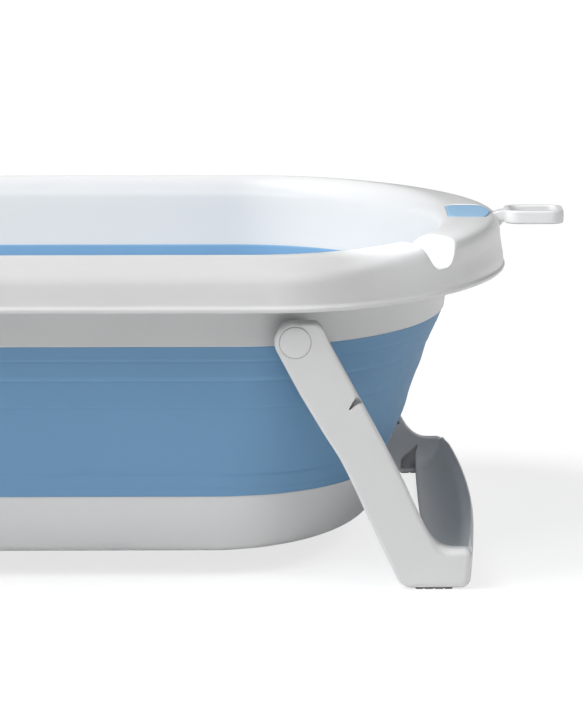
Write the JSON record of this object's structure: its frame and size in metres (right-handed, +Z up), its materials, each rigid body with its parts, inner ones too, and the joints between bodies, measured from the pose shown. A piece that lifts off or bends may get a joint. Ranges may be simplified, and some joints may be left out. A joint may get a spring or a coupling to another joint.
{
  "type": "baby bathtub",
  "caption": "Folding baby bathtub: rigid oval rim, collapsible soft wall and base pan on two U-shaped folding legs, with a hose cradle and a fold-down hanging ring.",
  "frame": {"origin": "on the floor, midway along the whole length with the hanging ring out, and midway across the width", "axes": "+X along the tub towards the hanging-ring end, +Z up; the hose cradle is on the -Y side"},
  "size_m": [0.8592, 0.49, 0.2183],
  "materials": {
    "white_plastic": "satin",
    "blue_tpe": "satin",
    "grey_rubber": "matte",
    "grey_plastic": "matte",
    "steel": "brushed"
  },
  "bodies": {
    "rim": {"rim_frame": "white_plastic", "soft_wall": "blue_tpe", "pivot_bushes": "grey_plastic", "pivot_washers": "steel", "pivot_screws": "steel", "grip_pads": "blue_tpe", "ring_pin": "steel", "ring_bracket": "white_plastic", "bracket_screws": "steel"},
    "basin": {"base_pan": "white_plastic"},
    "plug": {"drain_plug": "blue_tpe"},
    "right_leg": {"leg_right": "white_plastic", "pivot_caps_right": "white_plastic", "foot_pads_right": "grey_rubber"},
    "left_leg": {"leg_left": "white_plastic", "pivot_caps_left": "white_plastic", "foot_pads_left": "grey_rubber"},
    "ring": {"hanging_ring": "white_plastic"}
  },
  "joints": [
    {"name": "basin_collapse", "type": "slide", "parent": "rim", "child": "basin", "axis": [0, 0, 1], "range_m": [0, 0.148], "deforming": ["soft_wall"]},
    {"name": "right_leg_fold", "type": "hinge", "parent": "rim", "child": "right_leg", "pos_m": [0.2454, 0, 0.16], "axis": [0, 1, 0], "range_deg": [0, 118.2]},
    {"name": "left_leg_fold", "type": "hinge", "parent": "rim", "child": "left_leg", "pos_m": [-0.2846, 0, 0.16], "axis": [0, -1, 0], "range_deg": [0, 118.2]},
    {"name": "plug_lift", "type": "slide", "parent": "basin", "child": "plug", "axis": [0, 0, 1], "range_m": [0, 0.05]},
    {"name": "ring_fold", "type": "hinge", "parent": "rim", "child": "ring", "pos_m": [0.3809, 0, 0.1992], "axis": [0, 1, 0], "range_deg": [0, 90]}
  ],
  "couplings": [
    {"joint": "right_leg_fold", "follows": "basin_collapse", "rad_per_m": 13.915},
    {"joint": "left_leg_fold", "follows": "basin_collapse", "rad_per_m": 13.915}
  ]
}
